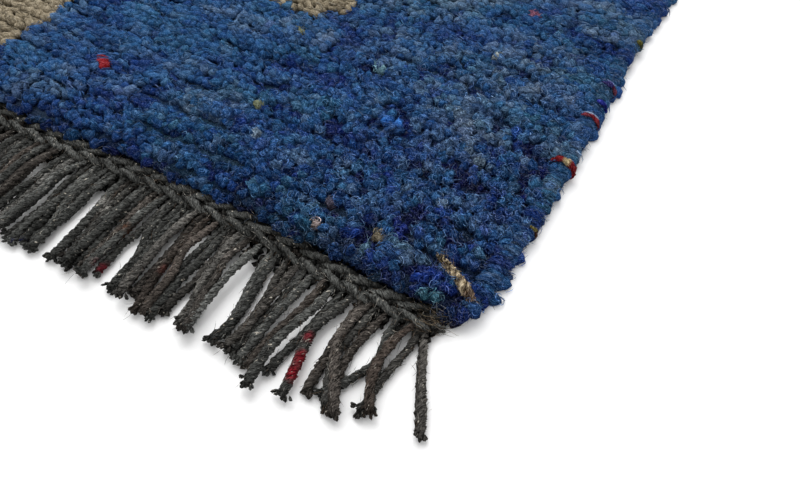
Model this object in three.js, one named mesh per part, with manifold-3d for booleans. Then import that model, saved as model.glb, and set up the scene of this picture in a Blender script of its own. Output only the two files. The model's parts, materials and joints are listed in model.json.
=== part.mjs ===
// A small hand-knotted wool rug, lying flat, in millimetres with +Z up.
// The origin is on the floor under the middle of the rug. X runs across the rug, along the rows
// of knots, and Y runs along the warp, from one fringed end to the other.
// It is made of a knotted pile, a wrapped selvedge down each side and, at each end, two rows of
// twined cord. The outer row holds the warp ends, which lie on the floor as a fringe.

import * as THREE from "three";
import { mergeVertices } from "three/addons/utils/BufferGeometryUtils.js";
import Module from "manifold-3d";

const wasm = await Module();
wasm.setup();

// The rug
const RUG_WIDTH = 600;
const RUG_LENGTH = 840;
const PILE_TOP = 13;
const GAP = 0.3;

// The pile: ridges of knots, each a few rows, with a groove after each
const RIDGE_PITCH = 21;
const GROOVE_DEPTH = 1.6;
const LUMP_HEIGHT = 0.9;
const PILE_COLUMNS = 9;
const PILE_SHOULDER = 9;
const END_ROUNDING = 7;

// The selvedges: soft rolls of yarn wrapped round the side warps
const SELVEDGE_WIDTH = 14;
const SELVEDGE_HEIGHT = 12.4;
const WRAP_PITCH = 17;
const WRAP_BULGE = 1.5;

// The twined cords across each end
const CORD_THICK = 6.4;
const CORD_LENGTH = 568;
const CORD_SIDES = 6;
const STITCH_PITCH = 16;
const STITCH_SWELL = 0.5;

// The fringe: plied warp ends, about as thick as they are high
const STRAND_PITCH = 7;
const STRAND_WIDTH = 5;
const STRAND_CROWN = 3.4;
const STRAND_HEIGHT = 4.8;
const STRAND_STEPS = 3;

// How the warp ends fall, from the right-hand corner of an end to its left. Each row is a clump:
// how many strands it has, how far its tips lean to the right, how closely the tips draw
// together (0 to 1), and how far they reach from the outer cord.
const CLUMPS = [
  { strands: 1, lean: 19, gather: 0.0, reach: 53 },
  { strands: 3, lean: 5, gather: 1.0, reach: 58 },
  { strands: 3, lean: 9, gather: 0.9, reach: 61 },
  { strands: 2, lean: 6, gather: 0.5, reach: 63 },
  { strands: 2, lean: 5, gather: 1.0, reach: 67 },
  { strands: 3, lean: 6, gather: 1.0, reach: 61 },
  { strands: 3, lean: 6, gather: 1.0, reach: 60 },
  { strands: 3, lean: 6, gather: 1.0, reach: 62 },
  { strands: 3, lean: 6, gather: 1.0, reach: 60 },
  { strands: 5, lean: 4, gather: 0.9, reach: 61 },
  { strands: 3, lean: 1, gather: 1.0, reach: 63 },
  { strands: 4, lean: 0, gather: 0.9, reach: 60 },
];

const COLOURS = { blueWool: 0x2f4673, charcoalWool: 0x4a4743 };

// A repeatable uneven value from -1 to 1 for a pair of numbers.
function uneven(a, b) {
  const wave = Math.sin(a * 12.9898 + b * 78.233) * 43758.5453;
  return 2 * (wave - Math.floor(wave)) - 1;
}

// A closed solid: a flat outline carried along, in steps, with each point put where place says.
// place takes the outline's two coordinates and how far along it is, from 0 to 1.
function sweep(outline, steps, place) {
  const shape = new THREE.Shape(outline.map(([u, v]) => new THREE.Vector2(u, v)));
  const solid = new THREE.ExtrudeGeometry(shape, { depth: 1, steps, bevelEnabled: false });
  const points = solid.getAttribute("position");
  for (let i = 0; i < points.count; i++) {
    points.setXYZ(i, ...place(points.getX(i), points.getY(i), points.getZ(i)));
  }
  solid.computeVertexNormals();
  return solid;
}

function wool(colour) {
  return new THREE.MeshStandardMaterial({ color: colour, roughness: 0.95, metalness: 0 });
}

function named(name, geometry, colour) {
  const mesh = new THREE.Mesh(geometry, wool(colour));
  mesh.name = name;
  return mesh;
}

// The knotted pile: flat below, grooved and lumpy above, and rounded over at both ends.
function pile() {
  const width = RUG_WIDTH - 2 * SELVEDGE_WIDTH - 2 * GAP;
  const ridges = RUG_LENGTH / RIDGE_PITCH;
  const outline = [
    [-width / 2, 0],
    [width / 2, 0],
    [width / 2, PILE_SHOULDER],
  ];
  for (let column = 0; column < PILE_COLUMNS; column++) {
    outline.push([width * (0.49 - (0.98 * column) / (PILE_COLUMNS - 1)), PILE_TOP]);
  }
  outline.push([-width / 2, PILE_SHOULDER]);
  return sweep(outline, 2 * ridges, (x, height, along) => {
    const y = RUG_LENGTH * (0.5 - along);
    const step = Math.round(along * 2 * ridges);
    const fromEnd = RUG_LENGTH / 2 - Math.abs(y);
    if (height === 0) return [x, y, 0];
    const rounding = fromEnd < END_ROUNDING ? 0.62 : 1;
    if (height === PILE_SHOULDER) return [x, y, height * rounding];
    const groove = step % 2 === 0 ? GROOVE_DEPTH : 0;
    const lump = LUMP_HEIGHT * (uneven(x, step) - 1) * 0.5;
    return [x, y, (height - groove + lump) * rounding];
  });
}

// One selvedge, on the side where x is positive: a flat-bottomed roll with a scalloped outer edge.
function selvedge(seed) {
  const inner = RUG_WIDTH / 2 - SELVEDGE_WIDTH;
  const steps = 2 * Math.round(RUG_LENGTH / WRAP_PITCH);
  const outline = [
    [0, 0],
    [0.78, 0],
    [1, 0.42],
    [0.82, 0.9],
    [0.35, 1],
    [0, 0.86],
  ];
  return sweep(outline, steps, (across, up, along) => {
    const step = Math.round(along * steps);
    const hollow = step % 2 === 0 ? WRAP_BULGE : 0;
    const loose = WRAP_BULGE * 0.5 * (uneven(seed, step) + 1);
    const atEnd = step === 0 || step === steps ? 0.7 : 1;
    const reach = SELVEDGE_WIDTH - across * (hollow + loose);
    const tall = SELVEDGE_HEIGHT - 0.6 * (hollow + loose);
    return [inner + across * reach * atEnd, RUG_LENGTH * (0.5 - along), up * tall * atEnd];
  });
}

// One row of twined cord lying along X on the floor, swelling at each stitch.
function twinedCord(middleY) {
  const steps = 2 * Math.round(CORD_LENGTH / STITCH_PITCH);
  const outline = [];
  for (let side = 0; side < CORD_SIDES; side++) {
    const angle = ((side + 0.5) * 2 * Math.PI) / CORD_SIDES + Math.PI / 2;
    outline.push([Math.cos(angle), Math.sin(angle)]);
  }
  const flat = Math.cos(Math.PI / CORD_SIDES);
  return sweep(outline, steps, (across, up, along) => {
    const step = Math.round(along * steps);
    const swell = step % 2 === 0 ? 0 : STITCH_SWELL;
    const half = CORD_THICK / 2 - STITCH_SWELL + swell;
    const x = CORD_LENGTH * (along - 0.5);
    return [x, middleY + across * half, (up / flat + 1) * half];
  });
}

// The roots and tips of the warp ends, in order from the right-hand corner to the left.
function warpEnds(firstClump) {
  const count = Math.floor((CORD_LENGTH - STRAND_WIDTH) / STRAND_PITCH) + 1;
  const firstRoot = ((count - 1) * STRAND_PITCH) / 2;
  const closest = STRAND_WIDTH + GAP;
  const ends = [];
  for (let row = firstClump; ends.length < count; row++) {
    const corner = ends.length === 0;
    const clump = corner ? CLUMPS[0] : CLUMPS[1 + ((row - 1) % (CLUMPS.length - 1))];
    const strands = Math.min(clump.strands, count - ends.length);
    const middle = firstRoot - (ends.length + (strands - 1) / 2) * STRAND_PITCH;
    const pitch = STRAND_PITCH + (closest - STRAND_PITCH) * clump.gather;
    for (let i = 0; i < strands; i++) {
      const side = (strands - 1) / 2 - i;
      const reach = clump.reach + 2 * uneven(ends.length, row);
      ends.push({ root: middle + side * STRAND_PITCH, tip: middle + side * pitch + clump.lean, reach });
    }
  }
  return ends;
}

// One warp end: it leaves the cord, bends towards its clump and lies level on the floor.
function strand({ root, tip, reach }, rootY) {
  const half = STRAND_WIDTH / 2;
  const outline = [
    [-half, 0],
    [half, 0],
    [STRAND_CROWN / 2, STRAND_HEIGHT],
    [-STRAND_CROWN / 2, STRAND_HEIGHT],
  ];
  return sweep(outline, STRAND_STEPS, (across, up, along) => {
    const bend = along * along * (3 - 2 * along);
    return [root + (tip - root) * bend + across, rootY - reach * along, up];
  });
}

function toSolid(geometry) {
  const bare = geometry.clone().deleteAttribute("normal").deleteAttribute("uv");
  const merged = mergeVertices(bare, 1e-3);
  return new wasm.Manifold(
    new wasm.Mesh({
      numProp: 3,
      vertProperties: merged.getAttribute("position").array,
      triVerts: new Uint32Array(merged.index.array),
    }),
  );
}

function toGeometry(solid) {
  const mesh = solid.getMesh();
  const geometry = new THREE.BufferGeometry();
  geometry.setAttribute("position", new THREE.BufferAttribute(mesh.vertProperties, 3));
  geometry.setIndex(new THREE.BufferAttribute(mesh.triVerts, 1));
  geometry.computeVertexNormals();
  return geometry;
}

// The outer cord of an end with all its warp ends growing out of it.
function fringe(middleY, firstClump) {
  let solid = toSolid(twinedCord(middleY));
  for (const end of warpEnds(firstClump)) {
    solid = solid.add(toSolid(strand(end, middleY)));
  }
  return toGeometry(solid);
}

// One whole end of the rug, built on the side where y is negative.
function endFinish(side, firstClump) {
  const end = new THREE.Group();
  const innerY = -(RUG_LENGTH / 2 + GAP + CORD_THICK / 2);
  const outerY = innerY - CORD_THICK - GAP;
  end.add(named(`twining_${side}`, twinedCord(innerY), COLOURS.charcoalWool));
  end.add(named(`fringe_${side}`, fringe(outerY, firstClump), COLOURS.charcoalWool));
  return end;
}

const rug = new THREE.Group();
rug.add(named("pile", pile(), COLOURS.blueWool));
rug.add(named("selvedge_right", selvedge(1), COLOURS.blueWool));

const leftSide = new THREE.Group();
leftSide.rotation.z = Math.PI;
leftSide.add(named("selvedge_left", selvedge(2), COLOURS.blueWool));
rug.add(leftSide);

rug.add(endFinish("near", 0));

const farEnd = endFinish("far", 4);
farEnd.rotation.z = Math.PI;
rug.add(farEnd);

export default rug;
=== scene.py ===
# A small hand-knotted wool rug, lying flat, with its near right-hand corner towards the camera.
# Lengths are in metres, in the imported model's frame: X runs along the rows of knots, Y along the
# warp and Z up from the floor. MM turns a size in millimetres into metres.

import json
import math

import bmesh
import bpy
import numpy as np
from bpy.props import FloatProperty, FloatVectorProperty, IntProperty, PointerProperty
from mathutils import Euler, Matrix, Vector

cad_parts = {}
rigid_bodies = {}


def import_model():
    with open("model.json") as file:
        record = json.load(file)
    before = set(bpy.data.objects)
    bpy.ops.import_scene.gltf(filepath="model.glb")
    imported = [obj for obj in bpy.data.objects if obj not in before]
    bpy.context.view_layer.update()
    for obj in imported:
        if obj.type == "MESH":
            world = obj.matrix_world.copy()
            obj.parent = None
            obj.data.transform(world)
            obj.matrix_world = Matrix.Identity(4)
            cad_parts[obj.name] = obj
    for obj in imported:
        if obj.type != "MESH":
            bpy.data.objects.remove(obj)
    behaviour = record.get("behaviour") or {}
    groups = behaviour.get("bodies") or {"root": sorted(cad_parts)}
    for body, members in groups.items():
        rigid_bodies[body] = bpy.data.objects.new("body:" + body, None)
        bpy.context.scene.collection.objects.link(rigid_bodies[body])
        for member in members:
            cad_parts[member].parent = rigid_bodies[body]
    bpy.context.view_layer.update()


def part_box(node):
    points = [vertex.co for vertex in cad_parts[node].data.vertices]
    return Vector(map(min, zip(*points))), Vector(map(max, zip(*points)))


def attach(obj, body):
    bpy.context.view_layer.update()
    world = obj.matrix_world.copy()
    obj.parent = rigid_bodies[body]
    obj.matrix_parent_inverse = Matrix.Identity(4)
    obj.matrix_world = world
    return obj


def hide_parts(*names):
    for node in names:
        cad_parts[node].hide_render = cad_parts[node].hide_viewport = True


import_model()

bl_info = {
    "name": "Hand-Knotted Wool Rug",
    "version": (1, 0, 0),
    "blender": (4, 5, 0),
    "location": "View3D > Sidebar > Rug",
    "description": "Dresses a small knotted rug with its pile, selvedges, twined cords and fringe",
    "category": "Object",
}

MM = 0.001

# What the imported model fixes
PILE_LOW, PILE_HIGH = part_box("pile")
EDGE_LOW, EDGE_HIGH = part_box("selvedge_right")
INNER_LOW, INNER_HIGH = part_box("twining_near")
FRINGE_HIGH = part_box("fringe_near")[1]

# The knots are counted from the front of the picture. Up to NEAR_KNOTS they have round tufts and
# many locks, up to SEEN_KNOTS some fine and coarse locks, up to FARTHER_KNOTS coarse ones, and
# past that none.
NEAR_KNOTS = 1100
SEEN_KNOTS = 2600
FARTHER_KNOTS = 4100

# The knots are counted from the near right-hand corner too. Up to CURLED_KNOTS they have many
# curls, and up to HALF_CURLED_KNOTS one each.
CURLED_KNOTS = 430
HALF_CURLED_KNOTS = 1200

# The middle of the roll of warps in the right-hand selvedge, along X and up
CORE_X = EDGE_LOW.x + 4.5 * MM
CORE_Z = 4.4 * MM

# Where the camera stands: it looks down at the near right-hand corner.
CAMERA_PLACE = (350.4 * MM, -586.4 * MM, 269.2 * MM)
CAMERA_AZIMUTH = 30.2
CAMERA_ELEVATION = 51.25
CAMERA_LENS = 30.96

# The fringe falls in clumps. Each row has how many warp ends a clump has, how far their tips lean
# to the right, how closely they draw together (0 to 1) and how far they reach, in millimetres.
CLUMPS = [
    (1, 19, 0.0, 53),
    (3, 5, 1.0, 58),
    (3, 9, 0.9, 61),
    (2, 6, 0.5, 63),
    (2, 5, 1.0, 67),
    (3, 6, 1.0, 61),
    (3, 6, 1.0, 60),
    (3, 6, 1.0, 62),
    (3, 6, 1.0, 60),
    (5, 4, 0.9, 61),
    (3, 1, 1.0, 63),
    (4, 0, 0.9, 60),
]

# The warp ends at the near right-hand corner, which stand in for the first CORNER_ROOTS ones: how
# high each lies and the places that it passes, in millimetres
CORNER_STRANDS = [
    (2.5, [(276, -431), (279, -442), (285, -456), (293, -470), (299, -482)]),
    (2.5, [(273, -431), (275, -443), (274, -453), (272, -465), (272, -474), (272, -486)]),
    (2.5, [(268, -431), (267, -449), (266, -461), (262, -470), (258, -479), (252, -487)]),
    (2.5, [(263, -431), (262, -442), (264, -452), (267, -462), (270, -472), (274, -482)]),
    (6.0, [(271, -431), (269, -442), (267, -454), (267, -465), (270, -474), (276, -484)]),
    (2.5, [(257, -431), (255, -447), (253, -459), (253, -469), (257, -479), (261, -492)]),
    (2.5, [(251, -431), (250, -447), (248, -458), (248, -468), (252, -479), (258, -490)]),
    (6.5, [(248, -431), (245, -449), (245, -460), (249, -469), (255, -478), (264, -492)]),
    (2.5, [(243, -431), (244, -448), (244, -458), (245, -469), (246, -480), (247, -489)]),
    (2.5, [(233, -431), (231, -451), (230, -465), (228, -475), (227, -484), (227, -490)]),
    (5.0, [(238, -431), (237, -446), (233, -458), (233, -466), (236, -477), (240, -496)]),
    (2.5, [(221, -431), (222, -447), (220, -460), (218, -470), (217, -482), (218, -492)]),
    (6.5, [(227, -431), (228, -449), (226, -460), (224, -468), (222, -480), (224, -500)]),
    (2.5, [(210, -431), (210, -446), (210, -460), (209, -471), (208, -481), (207, -490)]),
    (4.5, [(215, -431), (215, -444), (214, -454), (213, -466), (213, -475), (213, -492)]),
    (2.5, [(199, -431), (200, -446), (203, -458), (205, -470), (206, -484)]),
    (6.0, [(205, -431), (206, -446), (207, -457), (206, -468), (207, -479), (204, -490)]),
    (2.5, [(189, -431), (190, -446), (193, -458), (196, -470), (199, -485)]),
    (3.0, [(193, -431), (193, -446), (196, -458), (198, -471), (198, -481), (195, -490)]),
]
CORNER_ROOTS = 14

# Odd colours spun into the warp ends: where each is along X and Y, how far it spreads and its
# colour
ODD_FLECKS = [
    (233.8, -467.4, 3.6, "#5c1620"),
    (237.6, -477.7, 5.0, "#6e1620"),
    (238.4, -485.5, 5.0, "#74121e"),
    (125.1, -484.5, 4.6, "#5c1822"),
    (76.5, -496.3, 4.6, "#2c3070"),
    (93.6, -452.4, 3.4, "#8d8b86"),
    (97.7, -455.7, 2.6, "#9a9892"),
    (152.0, -470.0, 4.0, "#4a2c28"),
    (118.0, -462.0, 4.0, "#4c3428"),
]

# Loose hairs that stick out at the near corner: the colour of each and the places that it passes
CORNER_HAIRS = [
    (
        "#c3cbd4",
        [(274, -424, 9.5), (280, -424.5, 7.5), (285, -423.5, 6.5), (290, -418, 7.5), (293, -412.5, 9)],
    ),
    ("#24242c", [(295, -410.8, 8), (297.6, -411, 7), (299.5, -412.2, 5)]),
    ("#a9b4b8", [(270.4, -419.6, 10.5), (274, -422.5, 10), (276, -425, 9), (277.6, -427.8, 7)]),
    ("#9a968c", [(277, -436, 4), (281, -434, 3), (286, -433.5, 2.4), (290, -432, 1.6)]),
]

# The end of pale brown yarn that lies over the near corner: the places that it passes
ODD_END = [
    (262, -399.5, 9),
    (267, -402.5, 11.6),
    (276.4, -408.3, 12.4),
    (283, -411.6, 11.6),
    (289, -415, 8.5),
]

# The last tufts at each corner, tucked against the ends of the cords: how far out each is along X
# and Y and how high its top is
CORNER_TUFTS = [
    (283.5, 417.0, 9.0),
    (288.0, 416.0, 8.6),
    (290.5, 412.5, 9.2),
    (283.0, 420.5, 7.2),
    (285.5, 417.5, 6.8),
    (280.5, 422.5, 6.4),
]

# Odd yarns among the wraps of the right-hand selvedge: where each is along Y, where it starts and
# ends on the way round in degrees from straight out, half its thickness and its colours
ODD_WRAPS = [
    (-311.0, 142, -25, 2.1, ["#8a1a20", "#8a1a20", "#c4b48c", "#7c1018", "#7c1018", "#7c1018"]),
    (-269.0, 120, -10, 1.15, ["#8e3a48", "#8a2430", "#6a1420"]),
    (-267.0, 130, 10, 0.5, ["#9fb0cc", "#8fa0bc"]),
    (-254.0, 85, 5, 1.3, ["#2a3498", "#1c2478"]),
    (-236.0, 110, -10, 1.15, ["#3c3674", "#5a2038"]),
    (-233.5, 130, 30, 0.5, ["#8c98c8", "#7a88c0"]),
    (-183.0, 60, 0, 1.5, ["#5d5c28", "#4a4e38"]),
    (-361.5, 60, -10, 1.0, ["#7d7440", "#4a2c1c"]),
]

# Odd bits of yarn knotted into the pile: where each lies along X and Y, how many knots it fills
# and its colour
ODD_YARNS = [
    (14.6, -369.6, 2, "#a0222c"),
    (201.5, -411.9, 1, "#a39592"),
    (232.0, -402.6, 1, "#8d8470"),
    (200.9, -399.2, 1, "#6c6678"),
    (229.3, -415.7, 1, "#5a7c94"),
    (240.1, -395.0, 3, "#20388a"),
    (265.6, -412.7, 4, "#1c4294"),
    (269.3, -420.4, 2, "#46788c"),
    (162.5, -289.6, 2, "#7398a6"),
    (196.7, -327.0, 2, "#3a7cc8"),
    (221.8, -189.3, 2, "#8a5a72"),
    (221.4, -244.3, 1, "#a8b0b0"),
    (98.0, -282.8, 1, "#7f8468"),
    (118.5, -353.3, 1, "#7d8468"),
    (134.6, -376.9, 1, "#8398ac"),
]


# Uneven values and small closed shapes


def linear(colour):
    """A colour such as "#22395b" as three linear values."""
    values = [int(colour[i : i + 2], 16) / 255 for i in (1, 3, 5)]
    return tuple(v / 12.92 if v <= 0.04045 else ((v + 0.055) / 1.055) ** 2.4 for v in values)


def uneven(a, b, seed=0):
    """A repeatable uneven value from -1 to 1 for each pair of numbers a and b."""
    wave = np.sin(a * 12.9898 + b * 78.233 + seed * 37.719) * 43758.5453
    return 2 * (wave - np.floor(wave)) - 1


def limited(value):
    """The value, kept between 0 and 1."""
    return np.clip(value, 0, 1)


def patches(x, y, long, short, seed):
    """Smooth uneven patches, from -1 to 1, about long by short each."""
    u, v = x / long, y / short
    i, j = np.floor(u), np.floor(v)
    a, b = u - i, v - j
    a, b = a * a * (3 - 2 * a), b * b * (3 - 2 * b)
    near = uneven(i, j, seed) * (1 - a) + uneven(i + 1, j, seed) * a
    far = uneven(i, j + 1, seed) * (1 - a) + uneven(i + 1, j + 1, seed) * a
    return near * (1 - b) + far * b


def washed(colours, share):
    """Colours made paler and greyer by share, as weathered wool is."""
    return blend(colours, np.asarray(colours) * 1.25 + (0.14, 0.155, 0.165), share)


def blend(a, b, share):
    """Colours a turned towards b by share, one value for each colour."""
    share = limited(share)[..., None]
    return np.asarray(a) * (1 - share) + np.asarray(b) * share


def deepened(colours, shade):
    """Colours darkened by shade. The darker they are the richer they get, because the light in a
    crevice has been through dyed wool more than once."""
    rich = colours / colours.mean(axis=-1, keepdims=True)
    return colours * shade[..., None] * rich ** (0.7 * limited(1 - shade)[..., None])


def felted(points, size, depth, seed):
    """Points pushed about smoothly, so that equal shapes come out unlike each other."""
    rng = np.random.default_rng(seed)
    waves = 14
    moved = points.copy()
    for _ in range(waves):
        way = rng.normal(size=3)
        way *= 2 * math.pi / (np.linalg.norm(way) * size * rng.uniform(0.7, 1.5))
        push = rng.normal(size=3) * depth / math.sqrt(waves)
        moved += np.sin(points @ way + rng.uniform(0, 2 * math.pi))[..., None] * push
    return moved


def small_shape(make):
    """The points and triangles of a closed shape that is repeated many times."""
    bm = bmesh.new()
    make(bm)
    bmesh.ops.recalc_face_normals(bm, faces=bm.faces)
    bmesh.ops.triangulate(bm, faces=bm.faces)
    points = np.array([v.co for v in bm.verts])
    faces = np.array([[v.index for v in f.verts] for f in bm.faces])
    bm.free()
    return points, faces


def yarn_shape(sides, rings, pointed=False):
    """A closed tube of rings for a length of yarn, or a spindle for a hair: each point's angle
    and ring, and the faces."""

    def tube(bm):
        bmesh.ops.create_cone(bm, cap_ends=True, segments=sides, radius1=1, radius2=1, depth=1)
        upright = [e for e in bm.edges if abs(e.verts[0].co.z - e.verts[1].co.z) > 0.5]
        bmesh.ops.subdivide_edges(bm, edges=upright, cuts=rings - 2, use_grid_fill=True)
        for end in (-0.5, 0.5) if pointed else ():
            tip = [v for v in bm.verts if abs(v.co.z - end) < 0.01]
            bmesh.ops.pointmerge(bm, verts=tip, merge_co=(0, 0, end))

    points, faces = small_shape(tube)
    angle = np.arctan2(points[:, 1], points[:, 0])
    ring = np.rint((points[:, 2] + 0.5) * (rings - 1)).astype(int)
    return angle, ring, faces


def unit(vectors):
    """The vectors, each made one long."""
    return vectors / np.linalg.norm(vectors, axis=-1, keepdims=True)


def smooth_route(places, rings):
    """Evenly spaced points on a smooth line that passes near the places."""
    places = np.array(places, float)
    steps = np.linalg.norm(np.diff(places, axis=0), axis=1)
    far = np.concatenate([[0], np.cumsum(steps)])
    at = np.linspace(0, far[-1], rings)
    line = np.stack([np.interp(at, far, places[:, k]) for k in range(3)], axis=1)
    for _ in range(rings // 2):
        line[1:-1] = (line[:-2] + 2 * line[1:-1] + line[2:]) / 4
    return line


def apart(count):
    """Places in a pattern, up to a metre apart, so that equal yarns don't show equal fibres."""
    return np.arange(count)[:, None] * 0.618 % 1


def lay_yarn(shape, paths, thick, twist=0.0, plies=0, ply_depth=0.0, upright=(0, 0, 1)):
    """Lays a tube along each path. paths is yarns x rings x 3 and thick is yarns x rings, half the
    yarn's thickness. twist is in radians a metre. Also gives where each point would be in the
    straight untwisted yarn, which a pattern can follow."""
    angle, ring, faces = shape
    along_path = unit(np.gradient(paths, axis=1))
    side = unit(np.cross(np.asarray(upright, float), along_path))
    lift = np.cross(along_path, side)
    steps = np.linalg.norm(np.diff(paths, axis=1), axis=2)
    along = np.concatenate([np.zeros((len(paths), 1)), np.cumsum(steps, axis=1)], axis=1)[:, ring]
    turned = angle + twist * along
    half = thick[:, ring] * (1 + ply_depth * np.cos(plies * angle))
    points = paths[:, ring] + half[..., None] * (
        np.cos(turned)[..., None] * side[:, ring] + np.sin(turned)[..., None] * lift[:, ring]
    )
    across = np.cos(angle) * half + apart(len(paths))
    straight = np.stack([across, np.sin(angle) * half, along], axis=2)
    return points, straight, repeat_faces(faces, len(paths), len(angle))


def hold(points, low=0.0, high=None):
    """Keeps the heights of points between low and high."""
    points[..., 2] = np.clip(points[..., 2], low, high)


def repeat_faces(faces, copies, points):
    """The faces of so many copies of a shape with so many points, one after the other."""
    return (faces[None] + (np.arange(copies) * points)[:, None, None]).reshape(-1, 3)


def make_piece(name, parts, material):
    """One mesh from parts, each of points, faces, colours and places in the yarn."""
    all_points, all_faces, all_colours, all_straight = zip(*parts)
    points, colours, straight = (
        np.concatenate([values.reshape(-1, 3) for values in group])
        for group in (all_points, all_colours, all_straight)
    )
    starts = np.cumsum([0] + [values.size // 3 for values in all_points[:-1]])
    faces = np.concatenate([values + start for values, start in zip(all_faces, starts)])
    mesh = bpy.data.meshes.new(name)
    mesh.vertices.add(len(points))
    mesh.vertices.foreach_set("co", points.ravel())
    mesh.loops.add(faces.size)
    mesh.loops.foreach_set("vertex_index", faces.ravel())
    mesh.polygons.add(len(faces))
    mesh.polygons.foreach_set("loop_start", np.arange(0, faces.size, 3))
    mesh.update(calc_edges=True)
    mesh.validate()
    mesh.shade_smooth()
    dye = mesh.color_attributes.new("dye", "FLOAT_COLOR", "POINT")
    loose = 1 - 0.6 * trodden(points[:, 0], points[:, 1])
    dye.data.foreach_set("color", np.column_stack([colours, loose]).ravel())
    yarn = mesh.attributes.new("yarn", "FLOAT_VECTOR", "POINT")
    yarn.data.foreach_set("vector", straight.ravel())
    mesh.materials.append(material)
    piece = bpy.data.objects.new(name, mesh)
    bpy.context.scene.collection.objects.link(piece)
    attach(piece, "root")
    return piece


# Materials


def add_node(tree, kind, settings=None, links=None):
    """Adds a node. settings are its own values or its sockets' values, and links are sockets."""
    node = tree.nodes.new(kind)
    for key, value in (settings or {}).items():
        if isinstance(key, str) and hasattr(node, key):
            setattr(node, key, value)
        else:
            node.inputs[key].default_value = value
    for key, socket in (links or {}).items():
        tree.links.new(socket, node.inputs[key])
    return node


def new_material(name):
    """An empty material and its tree of nodes."""
    material = bpy.data.materials.new(name)
    material.use_nodes = True
    material.node_tree.nodes.clear()
    return material, material.node_tree


def spun_wool(name, stretch, scale, wave):
    """A new wool, with its dye, its places in the yarn and its fibres, which are a pattern drawn
    out along the yarn."""
    material, tree = new_material(name)
    dye = add_node(tree, "ShaderNodeAttribute", {"attribute_name": "dye"})
    yarn = add_node(tree, "ShaderNodeAttribute", {"attribute_name": "yarn"})
    along = add_node(
        tree, "ShaderNodeMapping", {"Scale": (1.0, 1.0, stretch)}, {"Vector": yarn.outputs["Vector"]}
    )
    settings = {"Scale": scale, "Detail": 2.0, "Roughness": 0.6, "Distortion": wave}
    fibres = add_node(tree, "ShaderNodeTexNoise", settings, {"Vector": along.outputs["Vector"]})
    return material, dye, yarn, fibres.outputs["Fac"]


def finish_wool(tree, colour, relief, depth, bloom):
    """Wool scatters light softly: next to no gloss, and a faint bloom where fibres stand off it.
    relief is what the height and strength of its unevenness follow, and depth is how deep it is."""
    rough = add_node(tree, "ShaderNodeBump", {"Distance": depth}, relief)
    settings = {
        "Roughness": 0.95,
        "IOR": 1.5,
        "Specular IOR Level": 0.02,
        "Sheen Weight": 0.02,
        "Sheen Roughness": 0.5,
        "Sheen Tint": (*linear(bloom), 1.0),
    }
    links = {"Base Color": colour, "Normal": rough.outputs["Normal"]}
    shader = add_node(tree, "ShaderNodeBsdfPrincipled", settings, links)
    add_node(tree, "ShaderNodeOutputMaterial", {}, {"Surface": shader.outputs["BSDF"]})


def hand_spun_pile_wool():
    """Hand-spun, unevenly dyed sheep's wool, cut and matted: dull, heathered and full of hairs."""
    # Wool fibres are 0.03 mm thick and don't show: these are drawn about 0.5 mm wide and 2 mm
    # long, wavy, and lie along the yarn.
    material, dye, _, fibres = spun_wool("hand_spun_pile_wool", 0.35, 1500.0, 1.6)
    tree = material.node_tree
    dyed, loose = dye.outputs["Color"], dye.outputs["Alpha"]
    shade = add_node(tree, "ShaderNodeMapRange", {"From Min": 0.40, "From Max": 0.62}, {"Value": fibres})
    # Trodden wool is matted, so its fibres show less. The dye's alpha is how loose the wool is.
    links = {"Factor": loose, "B": shade.outputs["Result"]}
    showing = add_node(tree, "ShaderNodeMix", {"data_type": "FLOAT", "A": 0.4}, links)
    # Painted shade and light of the fibres: between them the colour is squared and darkened, as light
    # that has been through dyed wool twice is, and on top of them it is brightened.
    twice = add_node(tree, "ShaderNodeVectorMath", {"operation": "MULTIPLY"}, {0: dyed, 1: dyed})
    between = add_node(
        tree, "ShaderNodeVectorMath", {"operation": "SCALE", "Scale": 0.42}, {0: twice.outputs["Vector"]}
    )
    on_top = add_node(tree, "ShaderNodeVectorMath", {"operation": "SCALE", "Scale": 1.46}, {0: dyed})
    links = {
        "Factor": showing.outputs["Result"],
        "A": between.outputs["Vector"],
        "B": on_top.outputs["Vector"],
    }
    shaded = add_node(tree, "ShaderNodeMix", {"data_type": "RGBA"}, links)
    # The fibres that stand highest are painted paler and greyer, partly as weathered tips and partly as
    # a painted highlight.
    highest = {"From Min": 0.52, "From Max": 0.64, "To Max": 0.42}
    pale = add_node(tree, "ShaderNodeMapRange", highest, {"Value": fibres})
    settings = {"operation": "MULTIPLY_ADD", 1: (1.1, 1.1, 1.1), 2: (0.15, 0.155, 0.155)}
    weathered = add_node(tree, "ShaderNodeVectorMath", settings, {0: dyed})
    links = {
        "Factor": pale.outputs["Result"],
        "A": shaded.outputs["Result"],
        "B": weathered.outputs["Vector"],
    }
    colour = add_node(tree, "ShaderNodeMix", {"data_type": "RGBA"}, links)
    relief = {"Height": fibres, "Strength": loose}
    finish_wool(tree, colour.outputs["Result"], relief, 1.1 * MM, "#7f9cc8")
    return material


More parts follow.
